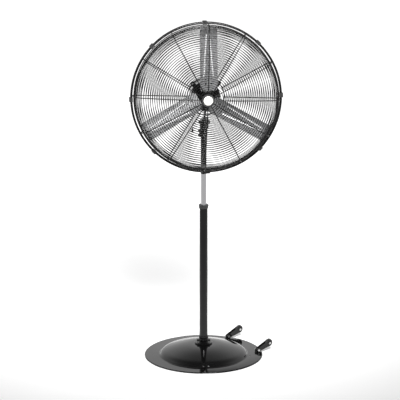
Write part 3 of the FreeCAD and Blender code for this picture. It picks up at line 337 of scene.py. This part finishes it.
MATERIALS = {
    "black_coat": gloss_coat("black_powder_coat", 0.003, 0.05, 0.02),
    "guard_wire": gloss_coat("guard_wire_coat", 0.003, 0.22, 0.05),
    "blade_metal": blade_paint(),
    "chrome": chrome(),
    "black_steel": bare_steel("blackened_steel", 0.06, 0.30, 0.7),
    "zinc_steel": bare_steel("zinc_plated_steel", 0.62, 0.24),
    "black_plastic": moulded_plastic(),
    "rubber": rubber(),
    "cast_iron": cast_iron(),
    "lamination_steel": laminations(),
    "bearing_steel": bare_steel("ground_steel", 0.58, 0.18),
    "copper_winding": winding_copper(),
    "badge_face": badge_enamel(),
}


def dress(obj, slot):
    """Give an object the material of a record slot."""
    obj.data.materials.clear()
    obj.data.materials.append(MATERIALS[slot])
    return obj


def dress_frame():
    """Give every CAD node the material of its own slot."""
    for node, slot in SLOTS.items():
        dress(NODES[node], slot)


# ================================ mesh helpers ================================
def new_piece(name, mesh_data, slot, body, *stands_for, smooth=True):
    """Finish a bmesh as an object that rides on a body and stands for CAD nodes."""
    mesh = bpy.data.meshes.new(name)
    bmesh.ops.recalc_face_normals(mesh_data, faces=mesh_data.faces)
    mesh_data.to_mesh(mesh)
    mesh_data.free()
    piece = bpy.data.objects.new(name, mesh)
    COLLECTION.objects.link(piece)
    for polygon in mesh.polygons:
        polygon.use_smooth = smooth
    dress(piece, slot)
    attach(piece, body)
    if stands_for:
        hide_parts(*stands_for)
    return piece


def circle(count):
    """Angles of a full circle in even steps."""
    return [2.0 * pi * k / count for k in range(count)]


def grid_faces(mesh_data, rows, closed=False):
    """Quads between successive rows of vertices."""
    for low, high in zip(rows, rows[1:]):
        count = len(low)
        for k in range(count if closed else count - 1):
            after = (k + 1) % count
            mesh_data.faces.new((low[k], low[after], high[after], high[k]))


# ================================ propeller ================================
def outline_half_width(along):
    """Half width of a blade at a distance from the shaft, with round corners."""
    from_root, from_tip = along - BLADE_ROOT, BLADE_TIP - along
    width = BLADE_HALF
    for corner, distance in ((BLADE_ROOT_CORNER, from_root), (BLADE_TIP_CORNER, from_tip)):
        if distance < corner:
            width -= corner - sqrt(max(corner ** 2 - (corner - distance) ** 2, 0.0))
    return width


def rib_height(across, along):
    """Height of the two pressed ribs, which draw together towards the tip."""
    share = (along - RIB_SPAN[0]) / (RIB_SPAN[1] - RIB_SPAN[0])
    fade = min(max(min(share, 1.0 - share) / RIB_FADE, 0.0), 1.0)
    fade = fade * fade * (3.0 - 2.0 * fade)
    share = min(max(share, 0.0), 1.0)
    centre = RIB_OFFSETS[0] + (RIB_OFFSETS[1] - RIB_OFFSETS[0]) * share
    distance = min(abs(across - centre), abs(across + centre)) / RIB_HALF_WIDTH
    return RIB_HEIGHT * fade * (0.5 + 0.5 * cos(pi * distance)) if distance < 1.0 else 0.0


def blade_piece(index):
    """Pressed blade: cambered sheet with two ribs and rounded corners."""
    turn = Matrix.Rotation(2.0 * pi * index / BLADE_COUNT, 4, "Z")
    seat = Matrix.Translation((BLADE_OFFSET, 0, BLADE_FORWARD)) @ Matrix.Rotation(BLADE_PITCH, 4, "Y")
    place = FAN @ turn @ seat
    data = bmesh.new()
    # share of the rib height at each vertex, used as the mask of the painted highlight on the rib tops
    painted_rib_highlight = data.verts.layers.float.new("painted_rib_highlight")
    steps_along, steps_across = BLADE_STEPS
    sides = []
    for side in (-1.0, 1.0):
        rows = []
        for i in range(steps_along + 1):
            share = 0.5 - 0.5 * cos(pi * i / steps_along)
            along = BLADE_ROOT + (BLADE_TIP - BLADE_ROOT) * share
            half = max(outline_half_width(along), 0.0005)
            row = []
            for k in range(steps_across + 1):
                across = half * (2.0 * k / steps_across - 1.0)
                reach = BLADE_CAMBER_R - side * BLADE_SHEET / 2
                angle = asin(across / BLADE_CAMBER_R)
                lift = rib_height(across, along)
                vertex = data.verts.new(place @ Vector((
                    (reach - lift) * sin(angle), along, BLADE_CAMBER_R - (reach - lift) * cos(angle))))
                vertex[painted_rib_highlight] = lift / RIB_HEIGHT
                row.append(vertex)
            rows.append(row)
        grid_faces(data, rows)
        sides.append(rows)
    back, front = sides
    for edge_back, edge_front in (
            (back[0], front[0]),
            (back[-1], front[-1]),
            ([row[0] for row in back], [row[0] for row in front]),
            ([row[-1] for row in back], [row[-1] for row in front])):
        grid_faces(data, [edge_back, edge_front])
    name = "blade_%d" % (index + 1)
    return new_piece("pressed_" + name, data, "blade_metal", "rotor", name)


# ================================ guard ================================
class GuardLine:
    """Half profile of a guard as (radius, height): domed face, round shoulder, straight skirt."""

    def __init__(self, depth, face_r, shoulder_r, side):
        inset = face_r - shoulder_r
        self.side = side
        self.face_r = face_r
        self.face_centre = depth - face_r
        self.slope = asin((SKIRT_R - shoulder_r) / inset)
        self.face_edge_r = face_r * sin(self.slope)
        self.shoulder_r = shoulder_r
        self.shoulder_centre = (inset * sin(self.slope), self.face_centre + inset * cos(self.slope))

    def face_point(self, radius, inward=0.0):
        """Point of the face at a radius, moved inward along the normal."""
        angle = asin(radius / self.face_r)
        reach = self.face_r - inward
        return Vector((reach * sin(angle), self.side * (self.face_centre + reach * cos(angle))))

    def shoulder_point(self, angle, inward=0.0):
        """Point of the shoulder at an angle from the shaft direction."""
        reach = self.shoulder_r - inward
        height = self.shoulder_centre[1] + reach * cos(angle)
        return Vector((self.shoulder_centre[0] + reach * sin(angle), self.side * height))

    def face_rings(self, first_r):
        """Places of the face's ring wires."""
        count = int((self.face_edge_r - first_r) / RING_PITCH) + 1
        pitch = (self.face_edge_r - first_r) / (count - 1)
        return [self.face_point(first_r + pitch * k, RING_INSET) for k in range(count)]

    def shoulder_rings(self, count):
        """Places of the shoulder's ring wires."""
        step = (LAST_SHOULDER_ANGLE - self.slope) / count
        return [self.shoulder_point(self.slope + step * k, RING_INSET) for k in range(1, count + 1)]

    def spoke_path(self, inner_r):
        """Points of a spoke from the hub over the shoulder to the rim."""
        run, turn = self.face_edge_r - inner_r, pi / 2 - self.slope
        face = [self.face_point(inner_r + run * k / SPOKE_STEPS) for k in range(SPOKE_STEPS)]
        bend = [self.shoulder_point(self.slope + turn * k / SPOKE_STEPS) for k in range(SPOKE_STEPS + 1)]
        return face + bend + [Vector((SKIRT_R, self.side * SKIRT_END_Z))]


def ring_wire(data, place, wire_r, steps, sides):
    """Round wire bent to a ring about the shaft."""
    rows = []
    for turn in circle(steps):
        row = []
        for angle in circle(sides):
            radius, height = place.x + wire_r * cos(angle), place.y + wire_r * sin(angle)
            row.append(data.verts.new(FAN @ Vector((radius * cos(turn), radius * sin(turn), height))))
        rows.append(row)
    grid_faces(data, rows + rows[:1], closed=True)


def spoke_wire(data, path, azimuth):
    """Round wire along a path of (radius, height) points at one azimuth."""
    rows = []
    for k, point in enumerate(path):
        along = (path[min(k + 1, len(path) - 1)] - path[max(k - 1, 0)]).normalized()
        row = []
        for angle in circle(WIRE_SIDES):
            across = SPOKE_WIRE_R * sin(angle)
            radius, height = point + SPOKE_WIRE_R * cos(angle) * Vector((-along.y, along.x))
            row.append(data.verts.new(FAN @ Vector((
                radius * cos(azimuth) - across * sin(azimuth),
                radius * sin(azimuth) + across * cos(azimuth),
                height))))
        rows.append(row)
    grid_faces(data, rows, closed=True)
    data.faces.new(rows[0])
    data.faces.new(list(reversed(rows[-1])))


def draw_rings(data, places):
    """Ring wires at their places."""
    for place in places:
        ring_wire(data, place, RING_WIRE_R, RING_STEPS, WIRE_SIDES)


def draw_spokes(data, path):
    """Spokes in even steps round the shaft."""
    for turn in circle(SPOKE_COUNT):
        spoke_wire(data, path, SPOKE_FIRST + turn)


def draw_rim(data, side):
    """Rim rod of one guard half."""
    ring_wire(data, Vector((ROD_RING_R, side * ROD_Z)), ROD_WIRE_R, RIM_STEPS, RIM_SIDES)


def guard_piece(node, draw, what):
    """Round-wire copy of one guard node."""
    data = bmesh.new()
    draw(data, what)
    return new_piece("round_" + node, data, SLOTS[node], "head", node)


def guard_pieces():
    """Rings, spokes and rims of both guard halves."""
    front = GuardLine(FRONT_DEPTH, FRONT_DOME_R, FRONT_SHOULDER_R, 1.0)
    rear = GuardLine(REAR_DEPTH, REAR_DOME_R, REAR_SHOULDER_R, -1.0)
    rings = {
        "front_face_rings": front.face_rings(FRONT_FIRST_RING_R),
        "front_shoulder_rings": front.shoulder_rings(FRONT_SHOULDER_RINGS),
        "rear_face_rings": rear.face_rings(REAR_FIRST_RING_R),
        "rear_shoulder_rings": rear.shoulder_rings(REAR_SHOULDER_RINGS),
    }
    for node, places in rings.items():
        guard_piece(node, draw_rings, places)
    for half, line, inner_r in (("front", front, FRONT_SPOKE_END_R), ("rear", rear, REAR_SPOKE_END_R)):
        guard_piece(half + "_spokes", draw_spokes, line.spoke_path(inner_r))
        guard_piece(half + "_rim", draw_rim, line.side)


# ================================ pole and base ================================
def smooth_copy(node, body):
    """Copy of a frame node with its curved faces shaded smooth."""
    data = bmesh.new()
    data.from_mesh(NODES[node].data)
    bmesh.ops.remove_doubles(data, verts=data.verts, dist=MERGE_DISTANCE)
    piece = new_piece("smooth_" + node, data, SLOTS[node], body, node)
    piece.data.set_sharp_from_angle(angle=SHARP_ANGLE)
    return piece


def tube_piece(node, body, radius):
    """Round tube with chamfered ends in the place of a many-sided one."""
    low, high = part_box(node)
    bore, edge = radius - TUBE_WALLS[node], radius - TUBE_CHAMFER
    profile = [
        (bore, low.z), (edge, low.z), (radius, low.z + TUBE_CHAMFER),
        (radius, high.z - TUBE_CHAMFER), (edge, high.z), (bore, high.z),
    ]
    data = bmesh.new()
    rows = [[data.verts.new((r * cos(a), r * sin(a), z)) for a in circle(TUBE_SIDES)] for r, z in profile]
    grid_faces(data, rows + rows[:1], closed=True)
    piece = new_piece("round_" + node, data, SLOTS[node], body, node)
    piece.data.set_sharp_from_angle(angle=SHARP_ANGLE)
    return piece


# ================================ badge ================================
def badge_piece():
    """Crowned enamel disc with a rounded edge."""
    data = bmesh.new()
    inverse = FAN.inverted()
    heights = [(inverse @ vertex.co).z for vertex in NODES["badge"].data.vertices]
    base, top = min(heights), max(heights)
    profile = [(BADGE_R, base), (BADGE_R, top - BADGE_RISE), (BADGE_R * 0.985, top - BADGE_RISE * 0.7)]
    shares = [0.96 - 0.16 * k for k in range(6)]
    profile += [(BADGE_R * share, top - BADGE_RISE * 0.6 * share ** 2) for share in shares]
    rows = []
    for radius, height in profile:
        rows.append([data.verts.new(FAN @ Vector((radius * cos(a), radius * sin(a), height)))
                     for a in circle(BADGE_SIDES)])
    grid_faces(data, rows, closed=True)
    data.faces.new(rows[0])
    data.faces.new(list(reversed(rows[-1])))
    return new_piece("enamel_badge", data, "badge_face", "head", "badge")


# ================================ pull chain ================================
def chain_piece():
    """Ball chain that hangs from the switch box."""
    low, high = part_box("pull_chain")
    x, y = (low.x + high.x) / 2, (low.y + high.y) / 2
    length = high.z - low.z
    count = int(length / BALL_PITCH)
    pitch = length / count
    data = bmesh.new()
    for k in range(count):
        centre = Vector((x, y, high.z - pitch * (k + 0.5)))
        bmesh.ops.create_uvsphere(data, u_segments=12, v_segments=8, radius=BALL_R,
                                  matrix=Matrix.Translation(centre))
    bmesh.ops.create_cone(data, cap_ends=True, segments=8, radius1=LINK_R, radius2=LINK_R,
                          depth=length, matrix=Matrix.Translation((x, y, (low.z + high.z) / 2)))
    piece = new_piece("ball_chain", data, "zinc_steel", "chain", "pull_chain")
    return piece


# ================================ stage ================================
class Sky(Shader):
    """The same calls on the world's node tree."""

    def __init__(self, world):
        self.tree = world.node_tree
        self.place = self.tree.nodes.new("ShaderNodeTexCoord").outputs["Generated"]


def smooth_step(shader, value, low, high):
    """Number running smoothly from 0 to 1 between two values of another."""
    node = shader.add("ShaderNodeMapRange", Value=value)
    node.interpolation_type = "SMOOTHSTEP"
    node.inputs["From Min"].default_value = low
    node.inputs["From Max"].default_value = high
    return node.outputs["Result"]


def floor():
    """Wide pale floor that glows like a light table, more so behind the fan."""
    data = bmesh.new()
    corners = ((-1, -1), (1, -1), (1, 1), (-1, 1))
    data.faces.new([data.verts.new((x * FLOOR_HALF, y * FLOOR_HALF, 0.0)) for x, y in corners])
    mesh = bpy.data.meshes.new("studio_floor")
    data.to_mesh(mesh)
    data.free()
    obj = bpy.data.objects.new("studio_floor", mesh)
    COLLECTION.objects.link(obj)
    shader = Shader("pale_floor")
    shader.set(Base_Color=shader.blend(shader.noise(0.8), (0.86, 0.86, 0.86), (0.89, 0.89, 0.89)))
    split = shader.add("ShaderNodeSeparateXYZ", Vector=shader.place)
    behind = smooth_step(shader, split.outputs["Y"], *FLOOR_GLOW_FROM)
    glow = shader.add("ShaderNodeMapRange", Value=behind, To_Min=FLOOR_GLOW[0], To_Max=FLOOR_GLOW[1])
    shader.set(Roughness=0.9, Specular_IOR_Level=0.0, Emission_Color=(1.0, 1.0, 1.0, 1.0))
    shader.set(Emission_Strength=glow.outputs["Result"])
    obj.data.materials.append(shader.material)


def world_light():
    """Soft surroundings: bright low behind the fan, dimmer overhead and in front."""
    world = bpy.data.worlds.new("studio")
    bpy.context.scene.world = world
    world.use_nodes = True
    sky = Sky(world)
    split = sky.add("ShaderNodeSeparateXYZ", Vector=sky.place)
    behind = smooth_step(sky, split.outputs["Y"], *SKY_BEHIND)
    low = smooth_step(sky, split.outputs["Z"], *SKY_LOW)
    both = sky.add("ShaderNodeMath", Value=behind)
    both.operation = "MULTIPLY"
    sky.feed(both.inputs[1], low)
    level = sky.add("ShaderNodeMapRange", Value=both.outputs[0], To_Min=SKY_LEVELS[0], To_Max=SKY_LEVELS[1])
    background = world.node_tree.nodes["Background"]
    sky.feed(background.inputs["Strength"], level.outputs["Result"])
    background.inputs["Color"].default_value = (1.0, 1.0, 1.0, 1.0)


def area_light(name, place, target, size, power, spread):
    """Soft rectangular light aimed at a point, with a limited spread."""
    light = bpy.data.lights.new(name, "AREA")
    light.shape = "RECTANGLE"
    light.size, light.size_y = size
    light.energy = power
    light.spread = spread
    obj = bpy.data.objects.new(name, light)
    COLLECTION.objects.link(obj)
    obj.location = place
    obj.rotation_euler = (Vector(target) - Vector(place)).to_track_quat("-Z", "Y").to_euler()
    return obj


def camera():
    """Long lens, looking down at the fan from straight ahead."""
    data = bpy.data.cameras.new("camera")
    data.sensor_width = SENSOR
    data.lens = SENSOR * CAMERA_DISTANCE / FRAME_WIDTH
    data.clip_end = 100.0
    obj = bpy.data.objects.new("camera", data)
    COLLECTION.objects.link(obj)
    outward = Vector((0, -cos(CAMERA_ELEVATION), sin(CAMERA_ELEVATION)))
    obj.location = CAMERA_TARGET + CAMERA_DISTANCE * outward
    obj.rotation_euler = (pi / 2 - CAMERA_ELEVATION, 0.0, 0.0)
    bpy.context.scene.camera = obj


dress_frame()
for number in range(BLADE_COUNT):
    blade_piece(number)
badge_piece()
guard_pieces()
tube_piece("outer_tube", "base", OUTER_TUBE_R)
tube_piece("inner_tube", "mast", INNER_TUBE_R)
smooth_copy("base_dish", "base")
chain_piece()
floor()
world_light()
area_light("front_softbox", SOFTBOX_PLACE, SOFTBOX_TARGET, SOFTBOX_SIZE, SOFTBOX_POWER, SOFTBOX_SPREAD)
camera()
bpy.context.scene.view_settings.view_transform = "Standard"
